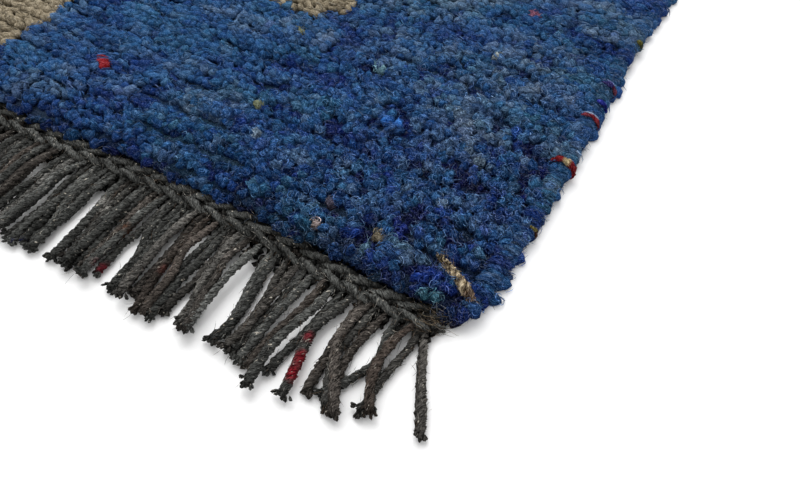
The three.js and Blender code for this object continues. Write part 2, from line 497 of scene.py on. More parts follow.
def plied_charcoal_wool():
    """Undyed charcoal wool, hard spun and plied: fine slanting fibres with pale kemp hairs."""
    # The fibres run along the ply: drawn 0.4 mm wide and a few millimetres long.
    material, dye, yarn, fibres = spun_wool("plied_charcoal_wool", 0.42, 1900.0, 0.7)
    tree = material.node_tree
    brightness = {"From Min": 0.38, "From Max": 0.63, "To Min": 0.15, "To Max": 2.3}
    shade = add_node(tree, "ShaderNodeMapRange", brightness, {"Value": fibres})
    links = {0: dye.outputs["Color"], "Scale": shade.outputs["Result"]}
    shaded = add_node(tree, "ShaderNodeVectorMath", {"operation": "SCALE"}, links)
    # Stray bits of pale wool, about a millimetre wide
    kemp = add_node(
        tree, "ShaderNodeTexNoise", {"Scale": 560.0, "Detail": 1.0}, {"Vector": yarn.outputs["Vector"]}
    )
    highest = {"From Min": 0.71, "From Max": 0.75, "To Max": 0.8}
    is_kemp = add_node(tree, "ShaderNodeMapRange", highest, {"Value": kemp.outputs["Fac"]})
    settings = {"data_type": "RGBA", "B": (*linear("#cfc8ba"), 1.0)}
    links = {"Factor": is_kemp.outputs["Result"], "A": shaded.outputs["Vector"]}
    colour = add_node(tree, "ShaderNodeMix", settings, links)
    finish_wool(tree, colour.outputs["Result"], {"Height": fibres}, 0.9 * MM, "#a8a49c")
    return material


def pale_floor():
    """A smooth matt white studio sheet."""
    material, tree = new_material("studio_sheet")
    shader = add_node(
        tree,
        "ShaderNodeBsdfPrincipled",
        {"Base Color": (*linear("#fafafa"), 1.0), "Roughness": 0.9, "Specular IOR Level": 0.1},
    )
    add_node(tree, "ShaderNodeOutputMaterial", {}, {"Surface": shader.outputs["BSDF"]})
    return material


def get_material(make):
    """The one copy of a material, which has the name of the function that makes it."""
    return bpy.data.materials.get(make.__name__) or make()


# The pile


def in_figure(x, y):
    """Where the pale figure is: a broad block in the middle of the rug, with its corners cut off
    a little and a smaller block off two of them. Its edges step from knot to knot, so they
    wander."""
    x = x + 3.5 * MM * patches(x, y, 30 * MM, 14 * MM, 41)
    y = y + 3.5 * MM * patches(x, y, 30 * MM, 14 * MM, 42)

    def block(middle_x, middle_y, half_x, half_y):
        return (np.abs(x - middle_x * MM) < half_x * MM) & (np.abs(y - middle_y * MM) < half_y * MM)

    broad = block(0, 0, 113, 263) & (np.abs(x) + np.abs(y) < 359 * MM)
    return broad | block(-129, -320, 73, 70) | block(129, 320, 73, 70)


def odd_yarns(x, y, colours, odds):
    """The colours with the odd bits of yarn spun in where they lie."""
    for odd_x, odd_y, spread, colour in odds:
        away = np.hypot(x - odd_x * MM, y - odd_y * MM) / (spread * MM)
        colours = blend(colours, linear(colour), 1.6 * np.clip(1 - away, 0, 0.55))
    return colours


def accents(x, y, colours):
    """The knots' colours, with the ones nearest to each odd bit of yarn in its full colour, and
    which knots those are."""
    colours = colours.copy()
    odd_knots = np.zeros(len(x), bool)
    for odd_x, odd_y, knots, colour in ODD_YARNS:
        nearest = np.hypot(x - odd_x * MM, y - odd_y * MM).argsort()[:knots]
        colours[nearest] = linear(colour)
        odd_knots[nearest] = True
    return colours, odd_knots


def end_wander(x):
    """How far an end of the rug bows out at x: the ends wander a little, one wave in 260 mm."""
    return 2.5 * MM * (1 - np.cos(2 * math.pi * (x - 135 * MM) / (260 * MM)))


def edge_wander(y):
    """How far the right-hand edge of the rug bows in at y, one wave in 300 mm."""
    return 1.9 * MM * (1 - np.cos(2 * math.pi * (y + 330 * MM) / (300 * MM)))


def corner_shade(x, y):
    """How bright the wool is coloured: darker near the front corner, and darker away from the near end
    as painted shade.
    """
    from_corner = np.hypot(PILE_HIGH.x - x, y - PILE_LOW.y) / (120 * MM)
    from_end = (y - PILE_LOW.y - 110 * MM) / (130 * MM)
    return 0.9 + 0.1 * limited(from_corner) - 0.08 * limited(from_end)


def bowed(x, y):
    """y, with the 60 mm at each end of the rug following the wander of that end."""
    side = np.where(y > 0, 1, -1)
    from_end = np.minimum(y - PILE_LOW.y, PILE_HIGH.y - y)
    return y + side * end_wander(-side * x) * limited(1 - from_end / (60 * MM))


def trodden(x, y):
    """How flat the pile has been trodden, from 0 at the near right-hand corner to 1."""
    return limited((np.hypot(PILE_HIGH.x - x, y - PILE_LOW.y) - 80 * MM) / (190 * MM))


def pile_colours(x, y, seed, dyes):
    """The colour of each knot's wool, from where it stands and the luck of the spinning, with painted
    shade in the pile's hollows and away from the near end.
    """
    own = uneven(np.round(x / MM * 3), np.round(y / MM * 3), seed)
    other = uneven(np.round(x / MM * 5), np.round(y / MM * 5), seed + 1)
    streak = patches(x, y, 32 * MM, 5 * MM, 11)
    broad = patches(x, y, 60 * MM, 34 * MM, 12)
    worn = trodden(x, y)
    lump = patches(x, y, 12 * MM, 9 * MM, 28)
    tone = (0.4 - 0.22 * worn) * own + 0.4 * lump + 0.25 * streak + 0.3 * broad
    blue = blend(dyes.mid_blue, dyes.light_blue, tone)
    blue = blend(blue, dyes.deep_blue, -1.3 * tone)
    # Painted shade: in the hollows between the lumps the wool is turned towards the deep blue.
    blue = blend(blue, dyes.deep_blue, hollows(x, y))
    cast = 0.6 * patches(x, y, 38 * MM, 16 * MM, 13) + (0.5 - 0.25 * worn) * other
    blue = blend(blue, dyes.violet, 0.4 * cast)
    blue = blend(blue, dyes.teal, -0.7 * cast)
    rare = uneven(np.round(x / MM * 7), np.round(y / MM * 7), seed + 2)
    vivid = np.where(rare > 0.95 - 0.07 * (worn == 0), 0.55 - 0.3 * worn, 0.0)
    # The blue is dimmed near the front corner, and darkened away from the corner and the near end as
    # painted shade.
    blue = blend(blue, dyes.ultramarine, vivid) * (corner_shade(x, y) - 0.13 * worn)[..., None]
    pale = blend(dyes.mid_taupe, dyes.light_taupe, 0.6 * tone)
    pale = blend(pale, dyes.deep_taupe, -0.8 * tone)
    return np.where(in_figure(x, y)[..., None], pale, blue)


def hollows(x, y):
    """Where the pile opens into small hollows between its lumps, from 0 to 1. The knots sink there, and
    painted shade darkens them.
    """
    lumps = patches(x, y, 8 * MM, 6.5 * MM, 26) + 0.5 * patches(x, y, 19 * MM, 13 * MM, 27)
    return limited((-lumps - 0.28) / 0.3) * (1 - 0.5 * trodden(x, y))


def bundle_bulge(y, sizes, seed):
    """How far the selvedge's bundles of wraps bulge at y, from 0 to 1."""
    side = patches(y, y * 0, 40 * MM, 1, seed)
    return np.abs(np.sin(math.pi * (y / sizes.bundle_pitch + 0.3 * side)))


def knot_places(sizes):
    """Where each knot stands: rows along X, four to a ridge, with a groove after each ridge. The
    outermost knots come down over the selvedges, and the corners are rounded."""
    reach = PILE_HIGH.x + 10.8 * MM
    rows = round((PILE_HIGH.y - PILE_LOW.y) / sizes.row_pitch)
    columns = round(2 * reach / sizes.knot_pitch)
    row, column = np.meshgrid(np.arange(rows), np.arange(columns), indexing="ij")
    row, column = row.ravel(), column.ravel()
    x = (column + 0.5 + 0.5 * uneven(row, 3)) * sizes.knot_pitch - reach
    y = PILE_LOW.y + (row + 0.5) * sizes.row_pitch
    x = x + 0.30 * sizes.knot_pitch * uneven(column, row, 1)
    y = y + 0.30 * sizes.row_pitch * uneven(column, row, 2)
    y = y + 1.8 * MM * patches(x, y, 45 * MM, 30 * MM, 21)
    in_ridge = (row % sizes.rows_per_ridge + 0.5) / sizes.rows_per_ridge
    beside_groove = np.where(np.abs(in_ridge - 0.5) > 0.3, 1.0, 0.2)
    broken = np.clip(0.35 + 1.0 * patches(x, y, 40 * MM, 21 * MM, 22), 0, 1.2) * beside_groove
    y = y + 0.5 * sizes.groove_depth * np.sign(0.5 - in_ridge) * broken
    drop = 0.5 * sizes.groove_depth * broken
    drop = drop + 0.6 * MM * uneven(column, row, 3)
    drop = drop + 0.7 * MM * patches(x, y, 15 * MM, 11 * MM, 23)
    drop = drop + np.where(in_figure(x, y), 0.8, 3.2) * MM * hollows(x, y)
    side = np.where(x > 0, 1, -1)
    over_edge = limited((np.abs(x) - PILE_HIGH.x + 2 * MM) / (13.5 * MM))
    x = np.clip(x, -reach, reach) + side * over_edge * 1.8 * MM * (bundle_bulge(y, sizes, side) - 0.5)
    x = x - side * edge_wander(side * y) * limited(1 - (PILE_HIGH.x - np.abs(x)) / (50 * MM))
    drop = drop + 6.5 * MM * over_edge**1.8
    y = np.clip(y, PILE_LOW.y + 2.0 * MM, PILE_HIGH.y - 2.0 * MM)
    from_end = np.minimum(y - PILE_LOW.y, PILE_HIGH.y - y)
    round_x = np.clip(np.abs(x) - reach + 14.2 * MM, 0, None)
    round_y = np.clip(15 * MM - from_end, 0, None)
    kept = np.hypot(round_x, round_y) < 13.5 * MM
    corners = [(-1, -1), (-1, 1), (1, -1), (1, 1)]
    last = np.array([(u * i, v * j, top) for u, v, top in CORNER_TUFTS for i, j in corners])
    last_drop = PILE_HIGH.z - 2.2 * MM - last[:, 2] * MM
    return (
        np.concatenate([x[kept], last[:, 0] * MM]),
        np.concatenate([y[kept], last[:, 1] * MM]),
        np.concatenate([drop[kept], last_drop]),
    )


def knot_forms(sizes, dyes):
    """Each knot's place, size, turn, tip and colour, how worn it is and how much felting moves
    it. At the near corner the tufts are round and tumbled, and where the pile is trodden they are
    wider and flatter and lie along the row."""
    x, y, drop = knot_places(sizes)
    rng = np.random.default_rng(7)
    count = len(x)
    worn = trodden(x, y)
    from_end = np.minimum(y - PILE_LOW.y, PILE_HIGH.y - y)
    over_end = limited(1 - (from_end - 1 * MM) / (5 * MM))
    at_edge = limited((np.abs(x) - PILE_HIGH.x + 2 * MM) / (6 * MM))
    size = sizes.tuft_size * (1 + 0.22 * patches(x, y, 13 * MM, 9 * MM, 24) + 0.2 * at_edge)
    worn = worn * np.clip((from_end - 8 * MM) / (30 * MM), 0.15, 1)
    wide = size * (0.55 + 0.3 * worn * (1 - at_edge)) * rng.uniform(0.75, 1.3, count)
    deep = size * (0.53 + 0.12 * worn) * rng.uniform(0.8, 1.2, count)
    tall = size * (0.8 - 0.2 * worn) * rng.uniform(0.85, 1.15, count)
    y = y + 4.2 * MM * over_end * np.sign(y) * (from_end > 0)
    y = bowed(x, y)
    way = 1.9 * patches(x, y, 15 * MM, 9 * MM, 25) + rng.normal(0, 0.3, count)
    # Painted shade: knots that sit low, in grooves and hollows, and those at the ends of the rug, on the
    # end face of the pile, are coloured darker.
    depth = limited(drop / (3.5 * MM)) * (np.abs(x) < PILE_HIGH.x)
    deepest = np.where(in_figure(x, y), 0.2, 0.8 - 0.4 * worn)
    shade = (1 - deepest * depth) * (1 - 0.35 * over_end)
    near_end = limited(1 - from_end / (11 * MM))
    colour = deepened(pile_colours(x, y, 3, dyes), shade * (1 - 0.35 * near_end))
    colour, odd_knots = accents(x, y, colour)
    drop = np.where(odd_knots, np.minimum(drop, 0.4 * MM), drop)
    height = PILE_HIGH.z - tall - 0.2 * MM - drop - 2.2 * MM * over_end
    end_band = limited(1 - (from_end - 4 * MM) / (20 * MM))
    return {
        "middle": np.stack([x, y, height], axis=1),
        "half": np.stack([wide, deep, tall], axis=1),
        "turn": way * (0.9 - 0.62 * worn) + 1.3 * end_band,
        "tip": (rng.normal(0, 0.22, count) + 0.5 * over_end) * np.where(y < 0, -1, 1),
        "colour": colour,
        "worn": worn,
        "matted": 1 - 0.5 * at_edge,
    }


def put_on_knots(points, forms, sizes):
    """Points of a unit ball, one set for each knot, put where the knot's own tuft is."""
    local = points * forms["half"][:, None]
    tip, turn = forms["tip"][:, None], forms["turn"][:, None]
    deep = local[..., 1] * np.cos(tip) + local[..., 2] * np.sin(tip)
    tall = local[..., 2] * np.cos(tip) - local[..., 1] * np.sin(tip)
    wide = local[..., 0] * np.cos(turn) - deep * np.sin(turn)
    deep = local[..., 0] * np.sin(turn) + deep * np.cos(turn)
    placed = np.stack([wide, deep, tall], axis=2) + forms["middle"][:, None]
    pushed = felted(placed, 4.2 * MM, sizes.felting, 100) - placed
    return placed + pushed * forms["matted"][:, None, None]


def picked(forms, chosen):
    """The forms of the chosen knots."""
    return {key: values[chosen] for key, values in forms.items()}


def tufts(shape, forms, sizes, lumps):
    """A small uneven tuft at each knot, with painted shade that darkens it towards its root."""
    points, faces = shape
    count = len(forms["turn"])
    placed = put_on_knots(np.broadcast_to(points * 0.93, (count, *points.shape)), forms, sizes)
    placed += (felted(placed, 1.9 * MM, lumps, 101) - placed) * forms["matted"][:, None, None]
    hold(placed)
    raised = (placed[..., 2] - forms["middle"][:, None, 2]) / forms["half"][:, None, 2]
    # Painted shade, deepest at the root of each tuft and shallower where the pile is trodden.
    root = 0.14 + 0.36 * forms["worn"][:, None]
    shade = root + (1.08 - root) * limited(0.45 + 0.7 * raised)
    wide, deep, tall = np.moveaxis(points * forms["half"][:, None], 2, 0)
    colours = deepened(forms["colour"][:, None] * np.ones((1, len(points), 1)), shade)
    straight = np.stack([deep + apart(count), tall, wide], axis=2)
    return placed, repeat_faces(faces, count, len(points)), colours, straight


def locks(forms, each, rings, width, seed, sizes):
    """Curled locks of wool wound over the tufts, so many to a knot. The locks of one tuft lie
    nearly side by side, as the fibres of a bit of yarn do."""
    rng = np.random.default_rng(seed)
    knot = np.repeat(np.arange(len(forms["turn"])), each)
    forms = picked(forms, knot)
    count = len(knot)
    across = rng.normal(size=(count, 3)) * 0.3 + (1, 0, 0)
    over = unit(rng.normal(size=(count, 3)) * (0.4, 0.8, 0.25) + (0, 0, 0.75))
    across = unit(across - over * (across * over).sum(axis=1, keepdims=True))
    swing = np.linspace(-1, 1, rings)[None] * rng.uniform(0.5, 1.25, (count, 1))
    swing = swing + rng.uniform(-0.35, 0.35, (count, 1))
    loose = np.linspace(0, 1, rings) ** 3 * rng.uniform(-0.3, 1.3, (count, 1))
    out = 1.0 + 0.1 * rng.random((count, 1)) + 0.32 * loose
    paths = np.cos(swing)[..., None] * over[:, None] + np.sin(swing)[..., None] * across[:, None]
    curl = unit(np.cross(over, across)) * rng.normal(0, 0.16, (count, 1))
    wave = np.sin(np.linspace(0, 5, rings)[None] + rng.uniform(0, 6, (count, 1)))
    paths = paths + curl[:, None] * wave[..., None]
    paths = put_on_knots(paths * out[..., None], forms, sizes)
    thick = width / 2 * rng.uniform(0.5, 1.3, (count, 1)) * np.ones(rings)
    shade = 1 + rng.uniform(-0.55, 0.5, count) * (1 - 0.45 * forms["worn"])
    pale = rng.uniform(-0.9, 0.75, count) * (1 - 0.4 * forms["worn"])
    colours = washed(forms["colour"] * shade[:, None], pale)
    return loose_hairs(paths, thick, colours)


def curls(forms, each, seed, sizes):
    """Fine pale fibres that have sprung into curls over the tufts, so many to a knot."""
    rng = np.random.default_rng(seed)
    forms = picked(forms, np.repeat(np.arange(len(forms["turn"])), each))
    count = len(forms["turn"])
    rings = 7
    out = unit(rng.normal(size=(count, 3)) * (0.9, 0.9, 0.3) + (0, 0, 0.7))
    first = unit(np.cross(out, rng.normal(size=(count, 3))))
    second = np.cross(out, first)
    t = np.linspace(0, 1, rings)[None, :, None]
    turn = rng.uniform(0.6, 1.7, (count, 1, 1)) * math.pi * t
    radius = rng.uniform(1.0, 2.9, (count, 1, 1)) * MM * (1 - 0.3 * t)
    centre = (forms["middle"] + out * forms["half"] * 1.02)[:, None]
    paths = centre + radius * (np.cos(turn) * first[:, None] + np.sin(turn) * second[:, None])
    paths = paths + out[:, None] * t * rng.uniform(0, 1.6, (count, 1, 1)) * MM
    hold(paths, 1 * MM, PILE_HIGH.z + 3 * MM)
    thick = 1.1 * sizes.hair_width * rng.uniform(0.6, 1.3, (count, 1)) * np.ones(rings)
    bright = rng.uniform(1.0, 2.4, (count, 1))
    colours = washed(forms["colour"] * bright + 0.01, rng.uniform(0.3, 1.9, count))
    return loose_hairs(paths, thick, colours)


def loose_hairs(paths, thick, colours):
    """Pointed hairs or locks along paths, kept above the floor."""
    thick = thick * np.sin(np.linspace(0, math.pi, paths.shape[1])) ** 0.5
    shape = yarn_shape(3, paths.shape[1], pointed=True)
    points, straight, faces = lay_yarn(shape, paths, thick, upright=(0.31, 0.2, 0.93))
    hold(points)
    colours = colours[:, None] * np.ones((1, points.shape[1], 1))
    return points, faces, colours, straight


def distance_from_front(places):
    """How far places are from the part of the rug that is seen from close by."""
    x, y = places[:, 0] - 200 * MM, places[:, 1] + 560 * MM
    return np.hypot(x - 0.6 * y, y)


def round_tuft(bm):
    """A rounded tuft, for the knots nearest to the front."""
    bmesh.ops.create_icosphere(bm, subdivisions=2, radius=1)


def tuft(bm):
    """A coarser tuft, for the knots behind them."""
    bmesh.ops.create_icosphere(bm, subdivisions=1, radius=1)


def plain_tuft(bm):
    """A four-sided tuft, for the part of the rug that is only seen from far away."""
    bmesh.ops.create_cone(bm, cap_ends=True, segments=4, radius1=1.15, radius2=0, depth=1.5)
    bmesh.ops.translate(bm, vec=(0, 0, 0.3), verts=bm.verts)


def stray_hairs(forms, count, sizes, seed):
    """Long pale hairs that stand off the pile in loose arcs, most of them at the front corner."""
    rng = np.random.default_rng(seed)
    forms = picked(forms, rng.integers(0, len(forms["turn"]), count))
    rings = 6
    t = np.linspace(0, 1, rings)[None, :, None]
    length = rng.uniform(3, 8, (count, 1, 1)) * MM
    way = unit(rng.normal(size=(count, 3)) * (1, 1, 0.35) + (0, 0, 0.25))[:, None]
    curl = unit(rng.normal(size=(count, 3)))[:, None]
    root = (forms["middle"] + forms["half"] * (0, 0, 0.85))[:, None]
    paths = root + length * (way * t + curl * (1.3 * t * t - 0.8 * t))
    hold(paths, 1 * MM, PILE_HIGH.z + 4 * MM)
    colours = washed(forms["colour"] * 1.4 + 0.02, rng.uniform(0.3, 1.8, count))
    return loose_hairs(paths, np.full((count, rings), sizes.hair_width / 2), colours)


def corner_hairs(sizes):
    """The few single hairs that stick out at the near corner."""
    rings = 9
    paths = np.stack([smooth_route(np.array(route) * MM, rings) for _, route in CORNER_HAIRS])
    colours = np.array([linear(colour) for colour, _ in CORNER_HAIRS])
    return loose_hairs(paths, np.full((len(paths), rings), 0.7 * sizes.hair_width), colours)


def fuzz(paths, out, count, length, palette, sizes, seed):
    """Short hairs that stand off yarns laid along paths, each in one of the palette's colours."""
    rng = np.random.default_rng(seed)
    yarn = rng.integers(0, len(paths), count)
    at = rng.integers(1, paths.shape[1] - 1, count)
    rings = 5
    t = np.linspace(0, 1, rings)[None, :, None]
    along = unit(paths[yarn, at + 1] - paths[yarn, at - 1]) * rng.choice([-1, 1], (count, 1))
    away = unit(rng.normal(size=(count, 3)) * (1, 1, 0.6) + (0, 0, 0.7))
    curl = unit(rng.normal(size=(count, 3)))[:, None]
    start = (paths[yarn, at] + away * out)[:, None]
    reach = rng.uniform(0.5, 1.2, (count, 1, 1)) * length
    curled = curl * (0.6 * t * t - 0.25 * t)
    paths = start + reach * (along[:, None] * t + away[:, None] * 0.45 * t + curled)
    colours = np.array([linear(colour) for colour in palette])[rng.integers(0, len(palette), count)]
    return loose_hairs(paths, np.full((count, rings), sizes.hair_width * 0.55), colours)


def odd_end(sizes):
    """An end of pale brown yarn, loosely plied, that lies over the front corner."""
    rings = 40
    path = smooth_route(np.array(ODD_END) * MM, rings)[None]
    t = np.linspace(0, 1, rings)
    thick = np.interp(t, [0, 0.1, 0.45, 0.8, 1], [0.5, 1.0, 1.9, 2.8, 1.8])[None] * MM
    shape = yarn_shape(14, rings)
    points, straight, faces = lay_yarn(shape, path, thick, 2 * math.pi / (12 * MM), 3, 0.24)
    points = felted(points, 2.1 * MM, 0.7 * MM, 7)
    t = straight[..., 2] / straight[..., 2].max()
    # The blotches are the yarn's own. The part that follows the three plies is painted shade in their
    # grooves and painted light on their crests.
    blotch_and_ply_shade = patches(points[..., 0], points[..., 1], 2.6 * MM, 2.2 * MM, 9) + 0.5 * np.cos(3 * shape[0])
    colours = blend(linear("#4f4c38"), linear("#94836a"), limited((t - 0.1) / 0.4))
    colours = blend(colours, linear("#dccbab"), 1.2 * blotch_and_ply_shade)
    colours = blend(colours, linear("#2e1e18"), -1.3 * blotch_and_ply_shade)
    colours = blend(colours, linear("#a08878"), np.clip((t - 0.8) / 0.12, 0, 0.5))
    yarn = (points, faces, colours, straight)
    palette = ["#cdb48c", "#8c7a58", "#e0d2b4", "#54402e"]
    return [yarn, fuzz(path, 2.2 * MM, 90, 4 * MM, palette, sizes, 8)]


# The selvedges

EDGE_FUZZ = ["#3c5a86", "#27436f", "#6d87ab", "#8f9fb8", "#1c2f55"]


def wrap_paths(sizes, seed):
    """The wraps of the right-hand selvedge: yarn carried over the edge in bundles, from the top of
    the pile round to the floor. Each wrap slants a little and bulges most in mid-bundle."""
    length = EDGE_HIGH.y - EDGE_LOW.y - 4 * MM
    count = round(length / sizes.wrap_pitch)
    i = np.arange(count)
    y = EDGE_LOW.y + 2 * MM + (i + 0.5) * length / count + 0.8 * MM * uneven(i, seed)
    bulge = bundle_bulge(y, sizes, 1) + 0.12 * uneven(i, seed, 1)
    at_end = limited(np.minimum(y - EDGE_LOW.y, EDGE_HIGH.y - y) / (14 * MM)) ** 0.6
    rings = 13
    angle = np.radians(np.linspace(150, -75, rings))[None]
    reach = (4.0 + 0.8 * bulge[:, None]) * MM - 3 * MM * (1 - at_end[:, None])
    height = 3.2 * MM + 0.5 * MM * bulge[:, None] - 1.0 * MM * (1 - at_end[:, None])
    x = CORE_X - edge_wander(y)[:, None] + reach * np.cos(angle)
    slant = (2.6 * MM + 1.5 * MM * uneven(i, seed, 2))[:, None] * np.linspace(-1, 1, rings)
    z = CORE_Z + height * np.sin(angle)
    return np.stack([x, y[:, None] + slant, z], axis=2), rings


def selvedge(sides, sizes, dyes, seed):
    """One selvedge, laid on the right: its part, the paths of its wraps and their colours."""
    paths, rings = wrap_paths(sizes, seed)
    rng = np.random.default_rng(seed)
    count = len(paths)
    profile = np.sin(math.pi * np.linspace(0.12, 0.88, rings)) ** 0.35
    thick = sizes.wrap_width / 2 * profile * rng.uniform(0.8, 1.15, (count, 1))
    points, straight, faces = lay_yarn(yarn_shape(sides, rings), paths, thick, upright=(0, 1, 0))
    points = felted(points, 9 * MM, 0.7 * sizes.felting, 100)
    hold(points)
    own = pile_colours(paths[:, 6, 0], paths[:, 6, 1], 3 + seed, dyes)
    tone = 0.8 + 0.45 * patches(points[..., 0], points[..., 1], 4 * MM, 3 * MM, seed)
    # Painted shade: the wraps are darker low down, near the floor.
    tone = tone * np.clip(0.35 + points[..., 2] / (7 * MM), 0.35, 1)
    colours = own[:, None] * tone[..., None]
    return (points, faces, colours, straight), paths, own


def odd_wraps():
    """The few wraps of other colours on the right-hand selvedge."""
    rings = 14
    shape = yarn_shape(6, rings)
    t = np.linspace(0, 1, rings)
    parts = []
    for middle, start, end, half, dyed in ODD_WRAPS:
        angle = np.radians(np.interp(t, [0, 1], [start, end]))
        y = middle * MM + 1.2 * MM * np.sin(3 * t)
        x = CORE_X - edge_wander(y) + 7.6 * MM * np.cos(angle)
        z = CORE_Z + 7.2 * MM * np.sin(angle)
        path = np.stack([x, y, z], axis=1)[None]
        thick = half * MM * np.clip(np.sin(math.pi * t) ** 0.4, 0.3, 1)[None]
        points, straight, faces = lay_yarn(shape, path, thick, 300, 2, 0.2)
        points = felted(points, 3 * MM, 0.3 * MM, 12)
        colours = np.array([linear(colour) for colour in dyed])
        nearest = np.clip(t * len(colours), 0, len(colours) - 1).astype(int)
        colours = colours[nearest[shape[1]]][None]
        parts.append((points, faces, colours, straight))
    return parts


def wrap_locks(paths, own, each, sizes, seed):
    """Loose locks that run over the edge with the wraps."""
    rng = np.random.default_rng(seed)
    wrap = np.repeat(np.arange(len(paths)), each)
    count = len(wrap)
    rings = paths.shape[1]
    y = paths[wrap][..., 1]
    middle = np.stack([CORE_X - edge_wander(y), y, np.full(y.shape, CORE_Z)], axis=2)
    from_middle = paths[wrap] - middle
    lift = rng.uniform(0.1, 0.5, (count, 1, 1)) * rng.uniform(0.7, 1.3, (count, rings, 1))
    lifted = middle + from_middle * (1 + lift)
    loose = 1.2 * MM * np.sin(np.linspace(0, 3, rings)[None] + rng.uniform(0, 6, (count, 1)))
    along = y + rng.uniform(-3, 3, (count, 1)) * MM + 1.6 * loose
    paths = np.stack([lifted[..., 0], along, lifted[..., 2]], axis=2)
    hold(paths, 0.5 * MM)
    thick = sizes.lock_width / 2 * rng.uniform(0.5, 1.4, (count, 1)) * np.ones(rings)
    shade = rng.uniform(0.45, 1.5, (count, 1))
    colours = washed(own[wrap] * shade, rng.uniform(-0.6, 0.6, count))
    return loose_hairs(paths, thick, colours)


# The ends: twined cords and fringe

TANGLE = ["#5c5044", "#7a6a58", "#3a332c", "#8e8068", "#2c2a28"]
WARP_FUZZ = ["#8d8982", "#5c4c3e", "#3a3835", "#a9a59d", "#2a2826"]


def twined_cord(y, turn_way, sides, rings, sizes, dyes, seed):
    """Two plies wound round each other along X, with loose hairs, and tangled at both ends."""
    half_length = (INNER_HIGH.x - INNER_LOW.x) / 2
    x = np.linspace(-half_length, half_length, rings)
    phase = 2 * math.pi * x / sizes.cord_lay + 0.7 * patches(x, x * 0, 40 * MM, 1, seed)
    at_end = np.clip((half_length - np.abs(x)) / (5 * MM), 0.25, 1)
    tuck = limited((np.abs(x) - half_length + 12 * MM) / (12 * MM)) ** 2
    plies = []
    for ply in range(2):
        turned = turn_way * (phase + ply * math.pi)
        off_axis = sizes.cord_width * 0.21
        wander = 0.8 * MM * patches(x, x * 0, 17 * MM, 1, seed + ply)
        path_y = y - end_wander(x) + off_axis * np.cos(turned) + wander + 4 * MM * tuck
        path_z = sizes.cord_width * 0.5 + off_axis * np.sin(turned) - 1 * MM * tuck
        plies.append(np.stack([x, path_y, path_z], axis=1))
    swell = 1 + 0.15 * patches(np.stack([x, x + 1]), np.zeros((2, rings)), 9 * MM, 1, seed + 5)
    thick = sizes.cord_width * 0.33 * swell * at_end
    points, straight, faces = lay_yarn(
        yarn_shape(sides, rings), np.stack(plies), thick, 2 * math.pi / (11 * MM), 2, 0.10
    )
    points = felted(points, 2.6 * MM, 0.34 * MM, seed)
    hold(points)
    across = points[..., 1] - y + end_wander(points[..., 0])
    from_axis = np.hypot(across, points[..., 2] - sizes.cord_width * 0.5)
    tone = 0.8 + 0.3 * patches(points[..., 0], points[..., 1] * 0, 14 * MM, 1, seed)
    # Painted shade: darker in the crevices between the plies, and darker still on the side under the end
    # of the pile.
    tone = tone * np.clip((from_axis / sizes.cord_width - 0.2) / 0.25, 0.08, 1.05)
    from_pile = PILE_LOW.y - y - across
    tone = tone * np.clip((from_pile - 1 * MM) / (4 * MM), 0.12, 1)
    colours = np.asarray(dyes.charcoal) * 1.12 * tone[..., None]
    cord = (points, faces, colours, straight)
    loose = fuzz(np.stack(plies), 2 * MM, round(1.4 * rings), 4 * MM, WARP_FUZZ, sizes, seed + 7)
    ragged = [ply[-9:] for ply in plies] + [ply[:9] for ply in plies]
    tangle = fuzz(np.stack(ragged), 1.8 * MM, rings // 2, 6 * MM, TANGLE, sizes, seed + 8)
    return [cord, loose, tangle]


def warp_ends(first_clump, sizes):
    """The root, tip and reach of each warp end, from the right-hand corner to the left."""
    cord_length = INNER_HIGH.x - INNER_LOW.x
    count = math.floor((cord_length - sizes.strand_width) / sizes.strand_pitch + 1e-6) + 1
    first_root = (count - 1) * sizes.strand_pitch / 2
    closest = sizes.strand_width + 0.3 * MM
    ends = []
    row = first_clump
    while len(ends) < count:
        clump = CLUMPS[1 + (row - 1) % (len(CLUMPS) - 1)] if ends else CLUMPS[0]
        number, lean, gather, reach = clump
        number = min(number, count - len(ends))
        middle = first_root - (len(ends) + (number - 1) / 2) * sizes.strand_pitch
        pitch = sizes.strand_pitch + (closest - sizes.strand_pitch) * gather
        for i in range(number):
            side = (number - 1) / 2 - i
            tip = middle + side * pitch + lean * MM
            own_reach = (reach + 2 * float(uneven(len(ends), row))) * MM
            ends.append((middle + side * sizes.strand_pitch, tip, own_reach))
        row += 1
    return np.array(ends)


def lower_ends(ends, sizes, seed):
    """Warp ends that lie half hidden below the others. Between two clumps, each goes with one."""
    i = np.arange(len(ends) - 1)
    right, left = ends[:-1], ends[1:]
    lower = (right + left) / 2
    parted = right[:, 1] - left[:, 1] > 1.05 * sizes.strand_pitch
    with_one = np.where(uneven(i, seed) > 0, right[:, 1] - 1.5 * MM, left[:, 1] + 1.5 * MM)
    lower[:, 1] = np.where(parted, with_one, lower[:, 1])
    lower[:, 2] -= 3.5 * MM + 2 * MM * uneven(i, seed, 1)
    return lower[uneven(i, seed, 2) > -0.76]


